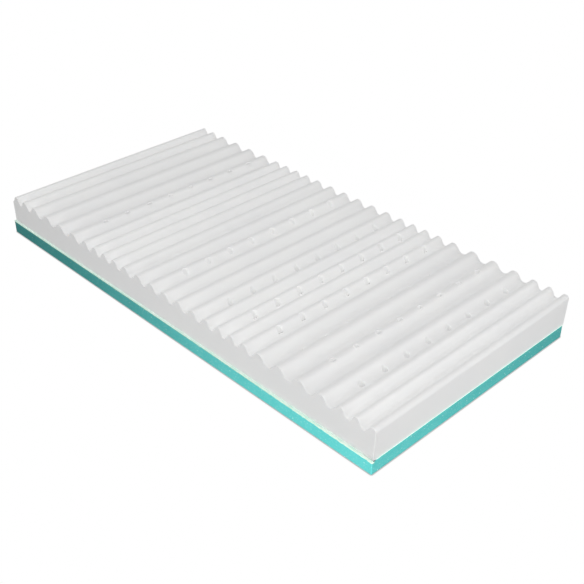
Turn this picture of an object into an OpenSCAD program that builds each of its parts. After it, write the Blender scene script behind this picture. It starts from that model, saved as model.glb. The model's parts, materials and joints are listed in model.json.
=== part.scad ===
// Two-layer foam mattress core: a contour-cut top layer bonded to a firm base slab.
// The origin is the centre of the underside. +X runs from the head end to the foot end,
// +Z is up. The foam is one flexible slab; it is divided at eight fold lines, each at
// the bottom of a valley between two ridges, so that rigid sections can follow its bend.

/* [Base slab] */
// Length of the base slab, head end to foot end
base_length = 2000; // [1990:1:2010]
// Width of the base slab
base_width = 1000; // [860:10:1200]
// Thickness of the base slab under the adhesive
base_thickness = 49; // [30:1:80]

/* [Adhesive] */
// Thickness of the adhesive film between the layers
film_thickness = 1; // [0.5:0.5:2]
// How far the film stays back from the edge of the base slab
film_inset = 1.5; // [0.5:0.5:3]

/* [Top layer] */
// Thickness of the top layer, from the adhesive to the crests
top_thickness = 121; // [90:1:150]
// Ledge of base slab left bare along the head end
ledge_head = 13; // [13:1:30]
// Ledge along the foot end
ledge_foot = 2; // [0:1:30]
// Ledge along the -Y long side
ledge_front = 7; // [0:1:20]
// Ledge along the +Y long side
ledge_back = 1; // [0:1:20]

/* [Ridges] */
// Height of the crests above the valleys
ridge_depth = 28; // [10:1:40]
// Pitch of the crests in the fine zones
fine_pitch = 62; // [61.5:0.1:62.2]
// Pitch of the crests in the middle zone
medium_pitch = 77; // [76.5:0.1:77.2]
// Pitch of the crests in the broad zones
broad_pitch = 92; // [91.5:0.1:92.2]
// Share of the head-side pitch in the step from one zone to the next
zone_lead = 0.7; // [0.5:0.05:0.9]
// Steepness of the flanks, from a plain wave to a squarer one
flank_steepness = 72; // [20:1:85]
// Straight steps that make up one flank
flank_steps = 8; // [4:1:12]
// First crest, measured from the head end of the base slab
first_crest = 43; // [41:0.5:43]

/* [Vent holes] */
// Diameter of the vent holes through the top layer
vent_diameter = 22; // [12:0.5:22]
// Rows of vent holes along the length
vent_rows = 12; // [1:1:12]
// Holes in each row
vent_columns = 8; // [1:1:8]
// First row, measured from the head end of the base slab
first_vent_row = 462; // [461:0.5:466]
// Distance between rows
vent_row_pitch = 122.6; // [122.3:0.1:123.4]
// Distance between the holes of a row
vent_column_pitch = 106; // [90:1:110]
// Middle of the vent grid along Y
vent_middle_y = 27; // [-30:1:30]

/* [Hidden] */

// Zones from head to foot: number of ridges and their pitch
zones = [
    [2, fine_pitch], [4, broad_pitch], [4, fine_pitch], [6, medium_pitch],
    [4, fine_pitch], [4, broad_pitch], [3, fine_pitch]
];
pitches = [for (zone = zones) for (i = [1:zone[0]]) zone[1]];
crest_steps = [
    for (i = [0:len(pitches) - 2]) zone_lead * pitches[i] + (1 - zone_lead) * pitches[i + 1]
];
function sum_first(list, count) =
    count == 0 ? 0 : list[count - 1] + sum_first(list, count - 1);
crests = [
    for (i = [0:len(pitches) - 1])
        -base_length / 2 + first_crest + sum_first(crest_steps, i)
];

// Valleys lie midway between crests, with half a ridge beyond the crests at the ends
valleys = concat(
    [crests[0] - fine_pitch / 2],
    [for (i = [1:len(crests) - 1]) (crests[i - 1] + crests[i]) / 2],
    [crests[len(crests) - 1] + fine_pitch / 2]
);

// Ridges to the head side of each fold line
ridges_before_fold = [8, 10, 12, 13, 15, 17, 19, 21];
cuts = concat(
    [-base_length / 2],
    [for (count = ridges_before_fold) valleys[count]],
    [base_length / 2]
);

top_bottom = base_thickness + film_thickness;
top_head = -base_length / 2 + ledge_head;
top_foot = base_length / 2 - ledge_foot;
top_front = -base_width / 2 + ledge_front;
top_back_side = base_width / 2 - ledge_back;
valley_height = top_bottom + top_thickness - ridge_depth;
past = 1;
hole_facets = 48;

// Height on a flank, where share runs from 0 in the valley to 1 on the crest
function flank_height(share) =
    valley_height
    + ridge_depth * (1 - sin(flank_steepness * cos(180 * share)) / sin(flank_steepness)) / 2;

// Points up one flank or down the next, from one line to another
function flank(from, to, rising) = [
    for (step = [0:flank_steps - 1])
        let (share = step / flank_steps)
            [from + (to - from) * share, flank_height(rising ? share : 1 - share)]
];

// Layer stretches between two places along the length
module slab(start, stop, front, back, bottom, height) {
    translate([start, front, bottom])
        cube([stop - start, back - front, height]);
}

module ridge_outline() {
    polygon(concat(
        [[valleys[0], top_bottom]],
        [
            for (i = [0:len(crests) - 1]) each concat(
                flank(valleys[i], crests[i], true),
                flank(crests[i], valleys[i + 1], false)
            )
        ],
        [[valleys[len(crests)], valley_height], [valleys[len(crests)], top_bottom]]
    ));
}

module vent_holes(start, stop) {
    for (row = [0:vent_rows - 1]) {
        x = -base_length / 2 + first_vent_row + vent_row_pitch * row;
        if (x + vent_diameter / 2 > start && x - vent_diameter / 2 < stop)
            for (column = [0:vent_columns - 1])
                translate([
                    x,
                    vent_middle_y + vent_column_pitch * (column - (vent_columns - 1) / 2),
                    top_bottom - past
                ])
                    cylinder(d = vent_diameter, h = top_thickness + 2 * past,
                             $fn = hole_facets);
    }
}

// One section of each layer, counted from the head end
module base_foam(section) {
    color("#5cc9be")
        slab(cuts[section], cuts[section + 1],
             -base_width / 2, base_width / 2, 0, base_thickness);
}

module adhesive(section) {
    start = max(cuts[section], -base_length / 2 + film_inset);
    stop = min(cuts[section + 1], base_length / 2 - film_inset);
    color("#e9f7f4")
        slab(start, stop, -base_width / 2 + film_inset, base_width / 2 - film_inset,
             base_thickness, film_thickness);
}

module top_foam(section) {
    start = max(cuts[section], top_head);
    stop = min(cuts[section + 1], top_foot);
    color("#ecedee")
        difference() {
            translate([0, top_back_side, 0])
                rotate([90, 0, 0])
                    linear_extrude(height = top_back_side - top_front)
                        intersection() {
                            ridge_outline();
                            translate([start, top_bottom])
                                square([stop - start, top_thickness + past]);
                        }
            vent_holes(start, stop);
        }
}

module base_back() { base_foam(0); }
module base_hip_fold_upper() { base_foam(1); }
module base_hip_fold_lower() { base_foam(2); }
module base_seat() { base_foam(3); }
module base_thigh_fold() { base_foam(4); }
module base_thigh() { base_foam(5); }
module base_knee_fold_upper() { base_foam(6); }
module base_knee_fold_lower() { base_foam(7); }
module base_calf() { base_foam(8); }

module adhesive_back() { adhesive(0); }
module adhesive_hip_fold_upper() { adhesive(1); }
module adhesive_hip_fold_lower() { adhesive(2); }
module adhesive_seat() { adhesive(3); }
module adhesive_thigh_fold() { adhesive(4); }
module adhesive_thigh() { adhesive(5); }
module adhesive_knee_fold_upper() { adhesive(6); }
module adhesive_knee_fold_lower() { adhesive(7); }
module adhesive_calf() { adhesive(8); }

module top_back() { top_foam(0); }
module top_hip_fold_upper() { top_foam(1); }
module top_hip_fold_lower() { top_foam(2); }
module top_seat() { top_foam(3); }
module top_thigh_fold() { top_foam(4); }
module top_thigh() { top_foam(5); }
module top_knee_fold_upper() { top_foam(6); }
module top_knee_fold_lower() { top_foam(7); }
module top_calf() { top_foam(8); }

base_back();
base_hip_fold_upper();
base_hip_fold_lower();
base_seat();
base_thigh_fold();
base_thigh();
base_knee_fold_upper();
base_knee_fold_lower();
base_calf();

adhesive_back();
adhesive_hip_fold_upper();
adhesive_hip_fold_lower();
adhesive_seat();
adhesive_thigh_fold();
adhesive_thigh();
adhesive_knee_fold_upper();
adhesive_knee_fold_lower();
adhesive_calf();

top_back();
top_hip_fold_upper();
top_hip_fold_lower();
top_seat();
top_thigh_fold();
top_thigh();
top_knee_fold_upper();
top_knee_fold_lower();
top_calf();
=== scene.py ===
"""Looks of the pressure relief mattress core: a ridged white foam layer, the pale adhesive
under it and the turquoise base slab, each built as stretches with one joint in each."""

import json
import math

import bmesh
import bpy
import numpy as np
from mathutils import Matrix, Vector, noise

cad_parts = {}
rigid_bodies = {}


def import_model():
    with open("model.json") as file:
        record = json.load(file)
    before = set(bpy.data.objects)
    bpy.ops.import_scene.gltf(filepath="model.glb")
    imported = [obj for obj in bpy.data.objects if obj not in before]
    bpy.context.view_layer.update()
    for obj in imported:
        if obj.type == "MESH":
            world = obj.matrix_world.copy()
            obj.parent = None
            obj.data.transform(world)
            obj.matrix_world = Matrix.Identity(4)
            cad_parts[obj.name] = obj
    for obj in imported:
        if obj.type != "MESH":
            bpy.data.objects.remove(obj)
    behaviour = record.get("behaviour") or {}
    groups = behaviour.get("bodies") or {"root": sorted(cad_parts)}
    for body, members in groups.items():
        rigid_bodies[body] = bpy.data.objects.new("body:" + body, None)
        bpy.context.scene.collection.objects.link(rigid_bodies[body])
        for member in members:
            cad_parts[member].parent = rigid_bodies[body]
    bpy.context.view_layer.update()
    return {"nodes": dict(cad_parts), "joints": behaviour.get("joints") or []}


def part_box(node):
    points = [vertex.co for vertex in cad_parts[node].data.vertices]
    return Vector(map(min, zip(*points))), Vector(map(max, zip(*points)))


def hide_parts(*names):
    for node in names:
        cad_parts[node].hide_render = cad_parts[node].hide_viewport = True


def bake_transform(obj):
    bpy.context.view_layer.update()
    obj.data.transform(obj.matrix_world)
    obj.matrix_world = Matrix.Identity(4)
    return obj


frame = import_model()

MM = 0.001
# Points of the design closer than this count as level
LEVEL = MM / 100

# The stretches of foam from head to foot: name, the joint it bends across, the body on
# its head side, the body on its foot side, and the sections it stands for.
STRETCHES = [
    ("head", "hip_bend_upper", "back", "hip_fold_upper", ["back"]),
    ("lumbar", "hip_bend_middle", "hip_fold_upper", "hip_fold_lower", ["hip_fold_upper"]),
    ("hip", "hip_bend_lower", "hip_fold_lower", "seat", ["hip_fold_lower"]),
    ("seat", "thigh_bend_upper", "seat", "thigh_fold", ["seat"]),
    ("thigh", "thigh_bend_lower", "thigh_fold", "thigh", ["thigh_fold"]),
    ("above_knee", "knee_bend_upper", "thigh", "knee_fold_upper", ["thigh"]),
    ("knee", "knee_bend_middle", "knee_fold_upper", "knee_fold_lower", ["knee_fold_upper"]),
    ("foot", "knee_bend_lower", "knee_fold_lower", "calf", ["knee_fold_lower", "calf"]),
]
SECTIONS = sorted({name.split("_", 1)[1] for name in frame["nodes"]})
JOINT_X = {joint["name"]: joint["pos_m"][0] for joint in frame["joints"]}

# Mesh lines on each flank of a ridge, and how full the ridges are
flank_steps = 10
flank_steepness = math.radians(74)
# How far the cut strays along the mattress, in height and on the side faces, and the
# size in metres of the patches in which it does
crest_wander, crest_patch = 0.5 * MM, 0.11
height_wander, height_patch = 0.25 * MM, 0.16
face_wander, top_face_patch, base_face_patch = 0.5 * MM, 0.09, 0.07

# Glow that stands for light soaked through the foam and the adhesive. In the vents it
# fades out with depth below the valleys.
foam_glow = 0.25
vent_glow = 0.185
vent_glow_depth = 75 * MM
seam_glow = 0.08
adhesive_glow = 0.26
lip_glow = 0.55

# Vent holes: half the square of mesh round one, its cells a side, how far a hole stays
# from the end of a stretch, the width of its worn rim, the foam left under it, and how
# much its radius wanders
vent_block = 16 * MM
vent_sides = 8
vent_clearance = 20 * MM
vent_rim = 0.8 * MM
vent_floor = 0.3 * MM
vent_raggedness = 0.02
# Rings of mesh over the rim, as distances outward and downward in rim widths, and down
# the wall, as shares of its depth
VENT_RIM_RINGS = [(2.2, 0.0), (1.0, 0.1), (0.3, 0.4), (0.0, 1.0)]
VENT_WALL_RINGS = [0.12, 0.3, 0.6, 1.0]

# Material slots of the top layer
OUTSIDE, VENT_WALL, SEAM = 0, 1, 2


# ---------------------------------------------------------------- sizes from the frame

def layer_box(layer):
    corners = [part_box(f"{layer}_{section}") for section in SECTIONS]
    low = Vector([min(c[0][i] for c in corners) for i in range(3)])
    high = Vector([max(c[1][i] for c in corners) for i in range(3)])
    return low, high


def top_nodes():
    return [frame["nodes"][f"top_{section}"] for section in SECTIONS]


def ridge_lines(low):
    """X of the valleys and of the crests between them, and the height of the valleys."""
    heights = {
        round(v.co.x, 5): v.co.z
        for node in top_nodes() for v in node.data.vertices
        if abs(v.co.y - low.y) < LEVEL and v.co.z > low.z + MM
    }
    lowest, highest = min(heights.values()), max(heights.values())
    found = [x for x in sorted(heights) if heights[x] < lowest + LEVEL]
    crests = [x for x in sorted(heights) if heights[x] > highest - LEVEL]
    first = 2 * crests[0] - found[0]
    last = 2 * crests[-1] - found[-1]
    return [first] + found + [last], crests, lowest


def vent_centres(low, high):
    """Centre of each vent hole, from the rims on the underside of the top layer."""
    rims = []
    # Points of one rim are closer together than this, and holes are further apart
    rim_gap = 40 * MM
    for node in top_nodes():
        node_low, node_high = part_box(node.name)
        for v in node.data.vertices:
            inside = (
                abs(v.co.z - low.z) < LEVEL
                and low.y + MM < v.co.y < high.y - MM
                and node_low.x + MM < v.co.x < node_high.x - MM
            )
            if not inside:
                continue
            for rim in rims:
                if abs(rim[0] - v.co.x) < rim_gap and abs(rim[2] - v.co.y) < rim_gap:
                    rim[0], rim[1] = min(rim[0], v.co.x), max(rim[1], v.co.x)
                    rim[2], rim[3] = min(rim[2], v.co.y), max(rim[3], v.co.y)
                    break
            else:
                rims.append([v.co.x, v.co.x, v.co.y, v.co.y])
    centres = [((a + b) / 2, (c + d) / 2) for a, b, c, d in rims]
    radius = max(b - a for a, b, c, d in rims) / 2
    rows = sorted({round(x, 4) for x, y in centres})
    columns = sorted({round(y, 4) for x, y in centres})
    return rows, columns, radius


top_low, top_high = layer_box("top")
base_low, base_high = layer_box("base")
film_low, film_high = layer_box("adhesive")
valleys, crests, valley_height = ridge_lines(top_low)
flank_lines = np.array(sorted(valleys + crests))
vent_rows, vent_columns, vent_radius = vent_centres(top_low, top_high)


def stretch_cuts():
    """Where one stretch ends and the next starts: midway between joints, off the vents."""
    places = [JOINT_X[row[1]] for row in STRETCHES]
    cuts = []
    for a, b in zip(places, places[1:]):
        cut = (a + b) / 2
        for row in vent_rows:
            if abs(cut - row) < vent_clearance:
                cut = row + math.copysign(vent_clearance, cut - row)
        cuts.append(cut)
    return cuts


cuts = stretch_cuts()


# ---------------------------------------------------------------- foam shapes

def wobble(x, y, size, seed):
    """Smooth noise from -1 to 1 over patches of about size metres."""
    return noise.noise(Vector((x / size, y / size, seed * 7.3)))


def ridge_height(x, y):
    """Height of the ridged surface, with the slight wander of a contour cut."""
    shifted = x + crest_wander * wobble(x, y, crest_patch, 1)
    i = int(np.clip(np.searchsorted(flank_lines, shifted) - 1, 0, len(flank_lines) - 2))
    share = (shifted - flank_lines[i]) / (flank_lines[i + 1] - flank_lines[i])
    if i % 2:
        share = 1 - share
    wave = math.sin(flank_steepness * math.cos(math.pi * share)) / math.sin(flank_steepness)
    rise = (top_high.z - valley_height) * (1 - wave) / 2
    return valley_height + rise + height_wander * wobble(x, y, height_patch, 2)


def quarter_inset(distance, radius):
    """How far a rounded edge of this radius is cut back at a distance from its end."""
    if distance >= radius:
        return 0.0
    return radius - math.sqrt(max(radius * radius - (radius - distance) ** 2, 0.0))


def spread(start, stop, step):
    count = max(1, round((stop - start) / step))
    return [start + (stop - start) * i / count for i in range(count + 1)]


def end_lines(end, inward, radius):
    """Places along X that carry a rounded end."""
    return [end + inward * radius * (1 - math.cos(a)) for a in
            (math.radians(d) for d in (0, 20, 40, 60, 75, 90))]


def vent_lines(centre):
    return [centre - vent_block + 2 * vent_block * i / vent_sides
            for i in range(vent_sides + 1)]


def merge_lines(fixed, free, gap):
    """All of the fixed lines, and the free ones that keep a gap to them."""
    kept = [f for f in free if all(abs(f - x) > gap for x in fixed)]
    return sorted(fixed + kept)


# The patterns follow where each point lies when the foam is flat, so they bend with it
FLAT_PLACE = "flat_place"


def new_piece(name, mesh_maker, materials):
    mesh = bpy.data.meshes.new(name)
    bm = bmesh.new()
    mesh_maker(bm)
    bmesh.ops.recalc_face_normals(bm, faces=bm.faces)
    for edge in bm.edges:
        edge.smooth = all(face.smooth for face in edge.link_faces)
    bm.to_mesh(mesh)
    bm.free()
    flat = mesh.attributes.new(FLAT_PLACE, "FLOAT_VECTOR", "POINT")
    for vertex in mesh.vertices:
        flat.data[vertex.index].vector = vertex.co
    piece = bpy.data.objects.new(name, mesh)
    bpy.context.scene.collection.objects.link(piece)
    for material in materials:
        mesh.materials.append(material)
    return piece


def skin(bm, loops, skip=(), end_slots=(OUTSIDE, OUTSIDE)):
    """Quads between neighbouring loops of points, and a flat face on each end."""
    rows = [[bm.verts.new(p) for p in loop] for loop in loops]
    count = len(rows[0])
    for i in range(len(rows) - 1):
        for j in range(count):
            if (i, j) in skip:
                continue
            k = (j + 1) % count
            face = bm.faces.new((rows[i][j], rows[i + 1][j], rows[i + 1][k], rows[i][k]))
            face.smooth = True
    for row, slot in zip((rows[0], rows[-1]), end_slots):
        face = bm.faces.new(row)
        face.smooth, face.material_index = False, slot
    return rows


# ---------------------------------------------------------------- top layer

# Rounding along the sides and at the ends, mesh rows up each side, and the step of the
# mesh across the layer with the least gaps between lines across it and along it
top_edge = 1.0 * MM
top_corner = 2 * MM
side_rows = 6
TOP_EDGE_DEGREES = (22.5, 45, 67.5)
top_step, top_gap_across, top_gap_along = 14 * MM, 4 * MM, 1.3 * MM
# The foot end leans out, and its front corner has come unstuck
foot_lean = 3.5 * MM
lean_reach = 40 * MM
lift_height = 2 * MM
lift_reach = 45 * MM
# Reach of the painted shade in the gap under the unstuck corner
gap_shade_reach = 16 * MM


def top_y_lines():
    front, back = top_low.y + top_edge, top_high.y - top_edge
    fixed = [front, back] + [y for c in vent_columns for y in vent_lines(c)]
    return merge_lines(fixed, spread(front, back, top_step), top_gap_across)


def top_x_lines(start, stop):
    fixed = [start, stop]
    for row in vent_rows:
        if start < row < stop:
            fixed += vent_lines(row)
    if start <= top_low.x:
        fixed += end_lines(start, 1, top_corner)[1:]
    if stop >= top_high.x:
        fixed += end_lines(stop, -1, top_corner)[1:]
    free = []
    for a, b in zip(flank_lines, flank_lines[1:]):
        free += [a + (b - a) * i / flank_steps for i in range(flank_steps)]
    free = [x for x in free if start < x < stop]
    return merge_lines(fixed, free, top_gap_along)


def corner_lift(x, y):
    """The foot corner on the front side is not quite stuck down."""
    away = max(top_high.x - x, 0) + max(y - top_low.y, 0)
    return lift_height * max(0.0, 1 - away / lift_reach) ** 2


def lean(point):
    """The foot end is cut leaning outward a little, from the bottom to the top."""
    share = max(0.0, 1 - (top_high.x - point.x) / lean_reach)
    rise = (point.z - top_low.z) / (top_high.z - top_low.z)
    return Vector((point.x + foot_lean * share * rise, point.y, point.z))


def top_loop(x, y_lines):
    inset = max(
        quarter_inset(x - top_low.x, top_corner),
        quarter_inset(top_high.x - x, top_corner),
    )
    front, back = top_low.y + inset, top_high.y - inset
    points = []
    for side, sign in ((front, 1), (back, -1)):
        edge_y = side + sign * top_edge
        z_edge = ridge_height(x, edge_y) - inset - top_edge
        bottom = top_low.z + corner_lift(x, side)
        column = []
        for k in range(side_rows + 1):
            z = bottom + (z_edge - bottom) * k / side_rows
            out = face_wander * wobble(x, z + side, top_face_patch, 3) if 0 < k else 0
            column.append(Vector((x, side + sign * abs(out), z)))
        for degrees in TOP_EDGE_DEGREES:
            a = math.radians(degrees)
            column.append(Vector((
                x,
                side + sign * top_edge * (1 - math.cos(a)),
                z_edge + top_edge * math.sin(a),
            )))
        points.append(column)
    squeeze = (back - front - 2 * top_edge) / (top_high.y - top_low.y - 2 * top_edge)
    middle = (top_low.y + top_high.y) / 2
    across = [
        Vector((x, middle + (y - middle) * squeeze, ridge_height(x, y) - inset))
        for y in y_lines
    ]
    under_y = [y for y in y_lines if y - y_lines[0] < lift_reach]
    under = [Vector((x, y, top_low.z + corner_lift(x, y))) for y in reversed(under_y)]
    return [lean(p) for p in points[0] + across + points[1][::-1] + under]


def vent_hole(bm, rows, i0, j0, centre):
    """A drilled hole in the middle of a square block of grid cells left open for it."""
    n = vent_sides
    ring = (
        [(i0 + k, j0) for k in range(n)] + [(i0 + n, j0 + k) for k in range(n)]
        + [(i0 + n - k, j0 + n) for k in range(n)] + [(i0, j0 + n - k) for k in range(n)]
    )
    outer = [rows[i][j] for i, j in ring]
    cx, cy = centre
    angles = [math.atan2(v.co.y - cy, v.co.x - cx) for v in outer]
    floor = top_low.z + vent_floor

    def circle(out, down, share=0.0):
        radius = vent_radius + out * vent_rim
        made = []
        for a in angles:
            stray = vent_raggedness * wobble(cx + math.cos(a), cy + math.sin(a), 0.4, 4)
            ragged = radius * (1 + stray)
            x, y = cx + ragged * math.cos(a), cy + ragged * math.sin(a)
            z = ridge_height(x, y) - down * vent_rim
            made.append(bm.verts.new((x, y, z + (floor - z) * share)))
        return made

    over_rim = [circle(out, down) for out, down in VENT_RIM_RINGS]
    circles = [outer] + over_rim + [circle(0, 1, share) for share in VENT_WALL_RINGS]
    count = len(ring)
    for i, (a, b) in enumerate(zip(circles, circles[1:])):
        for k in range(count):
            m = (k + 1) % count
            face = bm.faces.new((a[k], a[m], b[m], b[k]))
            face.smooth = True
            face.material_index = OUTSIDE if i < len(VENT_RIM_RINGS) - 1 else VENT_WALL
    end = bm.faces.new(circles[-1])
    end.smooth, end.material_index = False, VENT_WALL


def top_stretch(start, stop):
    y_lines = top_y_lines()
    x_lines = top_x_lines(start, stop)
    # The points of a loop that go up the front side come before those across the top
    offset = side_rows + 1 + len(TOP_EDGE_DEGREES)
    ends = (SEAM if start > top_low.x else OUTSIDE, SEAM if stop < top_high.x else OUTSIDE)

    def make(bm):
        loops = [top_loop(x, y_lines) for x in x_lines]
        blocks, skip = [], set()
        for row in vent_rows:
            if not start < row < stop:
                continue
            i0 = int(np.argmin([abs(x - (row - vent_block)) for x in x_lines]))
            for column in vent_columns:
                j0 = int(np.argmin([abs(y - (column - vent_block)) for y in y_lines]))
                blocks.append((i0, j0 + offset, (row, column)))
                skip |= {(i0 + a, j0 + offset + b)
                         for a in range(vent_sides) for b in range(vent_sides)}
        rows = skin(bm, loops, skip, ends)
        for i0, j0, centre in blocks:
            vent_hole(bm, rows, i0, j0, centre)
        loose = [v for v in bm.verts if not v.link_faces]
        bmesh.ops.delete(bm, geom=loose, context="VERTS")

    return make


# ---------------------------------------------------------------- base slab

# Rounding along the top, along the bottom, and of the upright corners
base_edge = 2 * MM
base_under_edge = 4 * MM
base_corner = 14 * MM
crisp_corner = 2.5 * MM
# Mesh rows up each side, the step and least gap of the mesh along the slab, and its
# lines under and over the slab as shares of the half width
base_rows = 5
base_step, base_gap = 9 * MM, 3 * MM
BASE_UNDER_LINES = (0.5, 0.85)
base_over_line = 0.93


def base_half(x, edge, inward, low, high):
    """Half of a loop round the slab: from under its middle, up one side, to the top."""
    points = [Vector((x, edge * share, low)) for share in BASE_UNDER_LINES]
    for degrees in (0, 15, 30, 45, 60, 75, 90):
        a = math.radians(degrees)
        points.append(Vector((
            x,
            edge + inward * base_under_edge * (1 - math.sin(a)),
            low + base_under_edge * (1 - math.cos(a)),
        )))
    start, stop = low + base_under_edge, high - base_edge
    for k in range(1, base_rows):
        z = start + (stop - start) * k / base_rows
        bow = face_wander * abs(wobble(x, z + edge, base_face_patch, 5))
        points.append(Vector((x, edge + inward * bow, z)))
    for degrees in (0, 30, 60, 90):
        a = math.radians(degrees)
        points.append(Vector((
            x,
            edge + inward * base_edge * (1 - math.cos(a)),
            stop + base_edge * math.sin(a),
        )))
    points.append(Vector((x, base_over_line * edge, high)))
    return points


def base_loop(x):
    head, foot = x - base_low.x, base_high.x - x
    low = base_low.z + quarter_inset(min(head, foot), base_under_edge)
    high = base_high.z - quarter_inset(min(head, foot), base_edge)
    head_inset = quarter_inset(head, base_corner)
    front = base_low.y + max(head_inset, quarter_inset(foot, crisp_corner))
    back = base_high.y - max(head_inset, quarter_inset(foot, base_corner))
    return base_half(x, front, 1, low, high) + base_half(x, back, -1, low, high)[::-1]


def base_stretch(start, stop):
    fixed = [start, stop]
    if start <= base_low.x:
        fixed += end_lines(start, 1, base_corner)[1:]
    if stop >= base_high.x:
        fixed += end_lines(stop, -1, crisp_corner)[1:]
        fixed += [x for x in end_lines(stop, -1, base_corner) if x < stop - crisp_corner]
    lines = merge_lines(fixed, spread(start, stop, base_step), base_gap)

    def make(bm):
        skin(bm, [base_loop(x) for x in lines])

    return make


# ---------------------------------------------------------------- adhesive film

# Raggedness of the outline, its bevels, and the adhesive squeezed out on the front and
# foot sides
film_wander = 1.3 * MM
film_grain = 0.8 * MM
under_bevel, over_bevel = 0.4 * MM, 0.5 * MM
bead_height = 3.2 * MM
bead_overlap = 0.4 * MM
lip_height = 3.2 * MM
# Step of the mesh across the film, its step and least gap along it, and its first line
# inside the back edge
film_step_across, film_step_along, film_gap = 12 * MM, 4 * MM, 1.5 * MM
film_back_line = 6 * MM


def film_edge(x, side):
    """How far the film is pulled back from its outline, here and there."""
    coarse = film_wander * wobble(x, side, 0.06, 11)
    return abs(coarse + film_grain * wobble(x, side, 0.013, 14))


def bead(x, side):
    """Height of the adhesive squeezed out against the side of the top layer."""
    coarse = 0.25 * wobble(x, side, 0.05, 17)
    grown = bead_height * (0.5 + 0.5 * (x - film_low.x) / (film_high.x - film_low.x))
    return grown * (0.75 + coarse + 0.25 * wobble(x, side, 0.011, 19))


def lip(y):
    """Height of the adhesive pressed up over the foot end of the top layer."""
    from_corner = min(1.0, (y - film_low.y) / lift_reach)
    return lip_height * from_corner * (0.6 + 0.4 * wobble(y, 0.5, 0.02, 23))


def film_half(x, edge, wall, inward, rise):
    """Half of a loop round the film: under it, out to its edge and up its bead."""
    bottom, top = film_low.z, film_high.z
    return [
        Vector((x, edge + inward * under_bevel, bottom)),
        Vector((x, edge, bottom + under_bevel)),
        Vector((x, edge + inward * over_bevel, top)),
        Vector((x, (edge + wall) / 2, top + 0.35 * rise)),
        Vector((x, wall + inward * bead_overlap, top + rise)),
        Vector((x, wall + inward * 3 * bead_overlap, top)),
    ]


def film_loop(x):
    front = film_low.y + film_edge(x, 0)
    back = film_high.y - film_edge(x, 1)
    beside_top = top_low.x < x < top_high.x
    rise = bead(x, 0) if beside_top else 0.0
    across = [
        Vector((x, y, film_high.z + (lip(y) if x > top_high.x else 0)))
        for y in spread(top_low.y + 4 * MM, film_high.y - 12 * MM, film_step_across)
    ]
    return (
        film_half(x, front, top_low.y, 1, rise) + across
        + film_half(x, back, back - film_back_line, -1, 0)[::-1]
    )


def film_stretch(start, stop):
    fixed = [start, stop]
    if stop >= film_high.x:
        # The lip rises straight up from the foot end of the top layer
        fixed += [top_high.x - 0.05 * MM, top_high.x + 0.1 * MM]
    lines = merge_lines(fixed, spread(start, stop, film_step_along), film_gap)

    def make(bm):
        skin(bm, [film_loop(x) for x in lines])

    return make


# ---------------------------------------------------------------- materials

# Screen colours: each foam with its patches and its pores, and the pale flecks in it
WHITE, WHITE_PATCH, WHITE_PORE = (238, 238, 238), (242, 242, 241), (222, 223, 224)
TURQUOISE, TURQUOISE_PATCH, TURQUOISE_PORE = (99, 206, 203), (108, 213, 210), (80, 186, 183)
FLECK = (205, 243, 238)
# The adhesive with its patches, painted shade in the gap of the loose corner, and soaked into
# the foam
GLUE, GLUE_PATCH, GLUE_PAINTED_SHADE, GLUE_SOAKED = (
    (208, 246, 230), (234, 251, 240), (120, 122, 122), (226, 244, 226))
# Sizes of flecks: cells in a metre, the share of a cell that a fleck fills, its strength,
# and the share of cells without one
FLECKS = [(70, 0.2, 0.75, 0.72), (140, 0.24, 0.6, 0.6), (260, 0.26, 0.5, 0.5)]


def linear(red, green, blue):
    """Screen colour, 0 to 255, as linear light."""
    def channel(c):
        c /= 255
        return c / 12.92 if c <= 0.04045 else ((c + 0.055) / 1.055) ** 2.4
    return (channel(red), channel(green), channel(blue), 1)


class Graph:
    """A material's node tree, with short calls for the nodes that repeat."""

    def __init__(self, name):
        self.material = bpy.data.materials.new(name)
        self.material.use_nodes = True
        self.tree = self.material.node_tree
        self.surface = self.tree.nodes["Principled BSDF"]
        place = self.tree.nodes.new("ShaderNodeAttribute")
        place.attribute_name = FLAT_PLACE
        self.place = place.outputs["Vector"]

    def link(self, output, socket):
        self.tree.links.new(output, socket)

    def node(self, kind, **inputs):
        made = self.tree.nodes.new(kind)
        for name, value in inputs.items():
            socket = made.inputs[name.replace("_", " ")]
            if isinstance(value, bpy.types.NodeSocket):
                self.link(value, socket)
            else:
                socket.default_value = value
        return made

    def noise(self, scale, detail=3, roughness=0.55):
        made = self.node("ShaderNodeTexNoise", Vector=self.place, Scale=scale,
                         Detail=detail, Roughness=roughness)
        return made.outputs["Fac"]

    def cells(self, scale, feature="F1", output="Distance"):
        made = self.node("ShaderNodeTexVoronoi", Vector=self.place, Scale=scale)
        made.feature = feature
        return made.outputs[output]

    def remap(self, value, low, high, out_low=0.0, out_high=1.0):
        made = self.tree.nodes.new("ShaderNodeMapRange")
        self.link(value, made.inputs["Value"])
        for name, number in (("From Min", low), ("From Max", high),
                             ("To Min", out_low), ("To Max", out_high)):
            made.inputs[name].default_value = number
        return made.outputs["Result"]

    def maths(self, operation, a, b):
        made = self.tree.nodes.new("ShaderNodeMath")
        made.operation = operation
        for socket, value in zip(made.inputs, (a, b)):
            if isinstance(value, bpy.types.NodeSocket):
                self.link(value, socket)
            else:
                socket.default_value = value
        return made.outputs[0]

    def mix(self, factor, first, second):
        made = self.tree.nodes.new("ShaderNodeMix")
        made.data_type = "RGBA"
        for socket, value in ((made.inputs[0], factor), (made.inputs[6], first),
                              (made.inputs[7], second)):
            if isinstance(value, bpy.types.NodeSocket):
                self.link(value, socket)
            else:
                socket.default_value = value
        return made.outputs[2]

    def bump(self, height, distance, strength, normal=None):
        made = self.node("ShaderNodeBump", Height=height, Distance=distance,
                         Strength=strength)
        if normal is not None:
            self.link(normal, made.inputs["Normal"])
        return made.outputs["Normal"]


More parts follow.
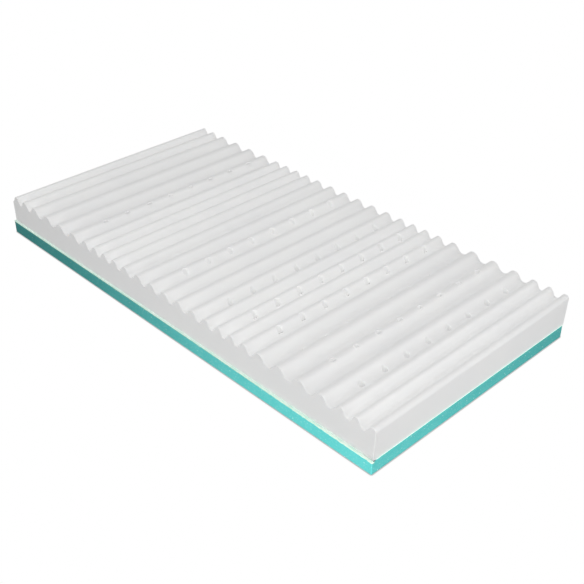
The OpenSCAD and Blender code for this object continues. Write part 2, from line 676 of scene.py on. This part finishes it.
def white_foam(name, glow, fade_depth=0):
    """White open-cell foam; its glow may fade out below the valleys of the ridges."""
    g = Graph(name)
    mottle = g.remap(g.noise(5, detail=5), 0.35, 0.65)
    colour = g.mix(mottle, linear(*WHITE), linear(*WHITE_PATCH))
    grain = g.remap(g.noise(420, detail=2), 0.3, 0.7)
    colour = g.mix(g.maths("MULTIPLY", grain, 0.16), colour, linear(*WHITE_PORE))
    g.link(colour, g.surface.inputs["Base Color"])
    g.surface.inputs["Roughness"].default_value = 0.92
    g.surface.inputs["Specular IOR Level"].default_value = 0.15
    g.surface.inputs["Subsurface Weight"].default_value = 0.6
    g.surface.inputs["Subsurface Radius"].default_value = (1.0, 0.97, 0.94)
    g.surface.inputs["Subsurface Scale"].default_value = 10 * MM
    g.surface.inputs["Emission Color"].default_value = (1, 1, 1, 1)
    if fade_depth:
        x, y, z = g.node("ShaderNodeSeparateXYZ", Vector=g.place).outputs
        glow = g.remap(z, valley_height - fade_depth, valley_height, 0, glow)
        g.link(glow, g.surface.inputs["Emission Strength"])
    else:
        g.surface.inputs["Emission Strength"].default_value = glow
    cells = g.bump(g.cells(850), 0.35 * MM, 0.35)
    skin_bump = g.bump(g.noise(190, detail=5, roughness=0.65), 0.5 * MM, 0.15, cells)
    g.link(skin_bump, g.surface.inputs["Normal"])
    return g.material


def speckles(g, colour, scale, size, strength, rarity):
    """Pale flecks of chopped foam, one in some of the cells of a pattern."""
    dots = g.remap(g.cells(scale), size, size * 0.45)
    chance = g.node("ShaderNodeSeparateColor", Color=g.cells(scale, output="Color"))
    lucky = g.remap(chance.outputs[0], rarity, rarity + 0.04)
    amount = g.maths("MULTIPLY", g.maths("MULTIPLY", dots, lucky), strength)
    return g.mix(amount, colour, linear(*FLECK))


def soaked_edge(g, colour):
    """Adhesive soaked into the top of the front side, more of it towards the foot end."""
    x, y, z = g.node("ShaderNodeSeparateXYZ", Vector=g.place).outputs
    reach = g.remap(x, 0.2, base_high.x, 0.4 * MM, 3.6 * MM)
    ragged = g.maths("MULTIPLY", reach, g.remap(g.noise(60, detail=4), 0.3, 0.7, 0.2, 1.4))
    depth = g.maths("SUBTRACT", base_high.z, z)
    inside = g.remap(g.maths("DIVIDE", depth, ragged), 1.15, 0.75)
    front = g.remap(y, base_low.y + 12 * MM, base_low.y + 9 * MM)
    return g.mix(g.maths("MULTIPLY", inside, front), colour, linear(*GLUE_SOAKED))


def turquoise_foam():
    g = Graph("turquoise_foam")
    mottle = g.remap(g.noise(11, detail=4), 0.35, 0.65)
    colour = g.mix(mottle, linear(*TURQUOISE), linear(*TURQUOISE_PATCH))
    pores = g.remap(g.noise(260, detail=3, roughness=0.7), 0.35, 0.6)
    colour = g.mix(g.maths("MULTIPLY", pores, 0.35), colour, linear(*TURQUOISE_PORE))
    for fleck in FLECKS:
        colour = speckles(g, colour, *fleck)
    colour = soaked_edge(g, colour)
    g.link(colour, g.surface.inputs["Base Color"])
    g.surface.inputs["Roughness"].default_value = 0.9
    g.surface.inputs["Specular IOR Level"].default_value = 0.2
    cells = g.bump(g.cells(650), 0.4 * MM, 0.4)
    skin_bump = g.bump(g.noise(150, detail=5, roughness=0.65), 0.8 * MM, 0.3, cells)
    g.link(skin_bump, g.surface.inputs["Normal"])
    return g.material


def dried_adhesive():
    """Pale glue with painted light, brightest at the foot end; painted shade in the loose
    corner's gap.
    """
    g = Graph("dried_adhesive")
    patches = g.remap(g.noise(45, detail=4), 0.35, 0.65)
    colour = g.mix(patches, linear(*GLUE), linear(*GLUE_PATCH))
    x, y, z = g.node("ShaderNodeSeparateXYZ", Vector=g.place).outputs
    # Painted shade: the glue turns dark grey in the gap under the unstuck front corner of the
    # foot end
    inward = g.remap(y, top_low.y + gap_shade_reach, top_low.y + 0.5 * gap_shade_reach)
    behind_bead = g.remap(y, top_low.y - 0.6 * MM, top_low.y - 0.2 * MM)
    near_end = g.remap(x, top_high.x - 3 * gap_shade_reach, top_high.x - 2 * gap_shade_reach)
    gap = g.maths("MULTIPLY", g.maths("MULTIPLY", inward, behind_bead), near_end)
    colour = g.mix(gap, colour, linear(*GLUE_PAINTED_SHADE))
    # Painted light: the glue glows, more on the lip over the foot end, and not in the painted
    # shade
    glow = g.remap(x, top_high.x - 2 * MM, top_high.x, adhesive_glow, lip_glow)
    glow = g.maths("MULTIPLY", glow, g.remap(gap, 0, 1, 1, 0))
    g.link(colour, g.surface.inputs["Base Color"])
    g.link(g.remap(patches, 0, 1, 0.45, 0.6), g.surface.inputs["Roughness"])
    g.link(colour, g.surface.inputs["Emission Color"])
    g.link(glow, g.surface.inputs["Emission Strength"])
    lumps = g.bump(g.noise(320, detail=3), 0.5 * MM, 0.4)
    g.link(lumps, g.surface.inputs["Normal"])
    return g.material


# ---------------------------------------------------------------- assembly

def build_layer(layer, low, high, maker, materials):
    edges = [low.x] + cuts + [high.x]
    for i, (name, joint, head_body, foot_body, stands_for) in enumerate(STRETCHES):
        start, stop = edges[i], edges[i + 1]
        piece = new_piece(f"{layer}_{name}_stretch", maker(start, stop), materials)
        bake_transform(piece)
        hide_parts(*[f"{layer}_{section}" for section in stands_for])


build_layer("base", base_low, base_high, base_stretch, [turquoise_foam()])
build_layer("adhesive", film_low, film_high, film_stretch,
            [dried_adhesive()])
build_layer("top", top_low, top_high, top_stretch,
            [white_foam("white_foam", foam_glow),
             white_foam("vent_wall_foam", vent_glow, vent_glow_depth),
             white_foam("seam_foam", seam_glow)])


# ---------------------------------------------------------------- floor, light, camera

# The floor's tone to light that bounces, its half side, and its gap under the slab
floor_bounce = 0.25
floor_reach = 20
floor_gap = 0.2 * MM
# The line of shade at the foot of the slab: its width, how dark it is, and how open a
# point on the floor is where it is darkest and where it ends
contact_reach = 6 * MM
contact_tone = 0.5
contact_openness = (0.5, 0.9)
world_light = 0.2
PALE = ("top", "adhesive")
ALL = ("top", "adhesive", "base")
# Name, place, target, size, power, and the layers each light falls on
LIGHTS = [
    ("overhead", (0.2, -0.7, 3.2), (0.2, 0, 0), 3.5, 17, PALE),
    ("high_foot", (3.0, -0.8, 2.6), (0.2, 0, 0.1), 2.2, 19, PALE),
    ("high_front", (-0.9, -2.4, 2.0), (-0.6, -0.3, 0.1), 1.5, 5, PALE),
    ("front_side", (1.5, -3.6, 0.4), (0.9, -0.5, 0.1), 1.2, 40, PALE),
    ("foot_side", (2.9, 0.0, 0.3), (1.0, 0.0, 0.1), 1.2, 15, PALE),
    ("base_corner", (1.0, -1.9, 0.4), (0.9, -0.5, 0.0), 0.8, 22, ("base",)),
    ("base_foot", (2.8, -0.7, 0.4), (1.0, -0.2, 0.0), 0.8, 28, ("base",)),
    ("back_side", (0.0, 3.4, 0.2), (0.0, 0.5, 0.05), 1.2, 32, ALL),
    ("head_side", (-3.6, 0.0, 0.2), (-1.0, 0.0, 0.05), 1.2, 18, ALL),
]

camera_place = Vector((2.311, -2.085, 1.990))
camera_target = Vector((0.245, -0.0945, 0.100))
camera_lens = 59.06


def seen_white(tree, shader, white):
    """The white shader to the camera, and the other one to every other ray."""
    path = tree.nodes.new("ShaderNodeLightPath")
    white.inputs["Color"].default_value = (1, 1, 1, 1)
    mix = tree.nodes.new("ShaderNodeMixShader")
    tree.links.new(path.outputs["Is Camera Ray"], mix.inputs[0])
    tree.links.new(shader, mix.inputs[1])
    tree.links.new(white.outputs[0], mix.inputs[2])
    return mix.outputs[0]


def contact_shade(g):
    """Brightness of the floor: dark in a thin line where the slab meets it."""
    near = g.node("ShaderNodeAmbientOcclusion", Distance=contact_reach)
    return g.remap(near.outputs["AO"], *contact_openness, contact_tone, 1)


def pale_floor():
    mesh = bpy.data.meshes.new("floor")
    reach = floor_reach
    corners = [(-reach, -reach, 0), (reach, -reach, 0), (reach, reach, 0), (-reach, reach, 0)]
    mesh.from_pydata(corners, [], [(0, 1, 2, 3)])
    floor = bpy.data.objects.new("floor", mesh)
    floor.location.z = base_low.z - floor_gap
    bpy.context.scene.collection.objects.link(floor)
    g = Graph("pale_floor")
    g.surface.inputs["Base Color"].default_value = (floor_bounce, floor_bounce, floor_bounce, 1)
    g.surface.inputs["Roughness"].default_value = 0.9
    white = g.tree.nodes.new("ShaderNodeEmission")
    shown = seen_white(g.tree, g.surface.outputs[0], white)
    g.link(contact_shade(g), white.inputs["Color"])
    g.link(shown, g.tree.nodes["Material Output"].inputs["Surface"])
    mesh.materials.append(g.material)


def lit_only(light, layers):
    """Make a light fall on the pieces of the named layers only."""
    group = bpy.data.collections.new(f"lit_by_{light.name}")
    for piece in bpy.data.objects:
        if piece.name.endswith("_stretch") and piece.name.split("_")[0] in layers:
            group.objects.link(piece)
    light.light_linking.receiver_collection = group


def area_light(name, place, target, size, power, layers):
    data = bpy.data.lights.new(name, "AREA")
    data.shape = "SQUARE"
    data.size = size
    data.energy = power
    light = bpy.data.objects.new(name, data)
    light.location = place
    direction = Vector(target) - Vector(place)
    light.rotation_euler = direction.to_track_quat("-Z", "Y").to_euler()
    bpy.context.scene.collection.objects.link(light)
    lit_only(light, layers)


def studio():
    scene = bpy.context.scene
    world = bpy.data.worlds.new("studio")
    world.use_nodes = True
    tree = world.node_tree
    background = tree.nodes["Background"]
    background.inputs["Color"].default_value = (1, 1, 1, 1)
    background.inputs["Strength"].default_value = world_light
    white = tree.nodes.new("ShaderNodeBackground")
    shown = seen_white(tree, background.outputs[0], white)
    tree.links.new(shown, tree.nodes["World Output"].inputs["Surface"])
    scene.world = world
    scene.view_settings.view_transform = "Standard"
    for light in LIGHTS:
        area_light(*light)


def camera():
    data = bpy.data.cameras.new("camera")
    data.sensor_width = 36
    data.lens = camera_lens
    made = bpy.data.objects.new("camera", data)
    made.location = camera_place
    made.rotation_euler = (camera_target - camera_place).to_track_quat("-Z", "Y").to_euler()
    bpy.context.scene.collection.objects.link(made)
    bpy.context.scene.camera = made


pale_floor()
studio()
camera()
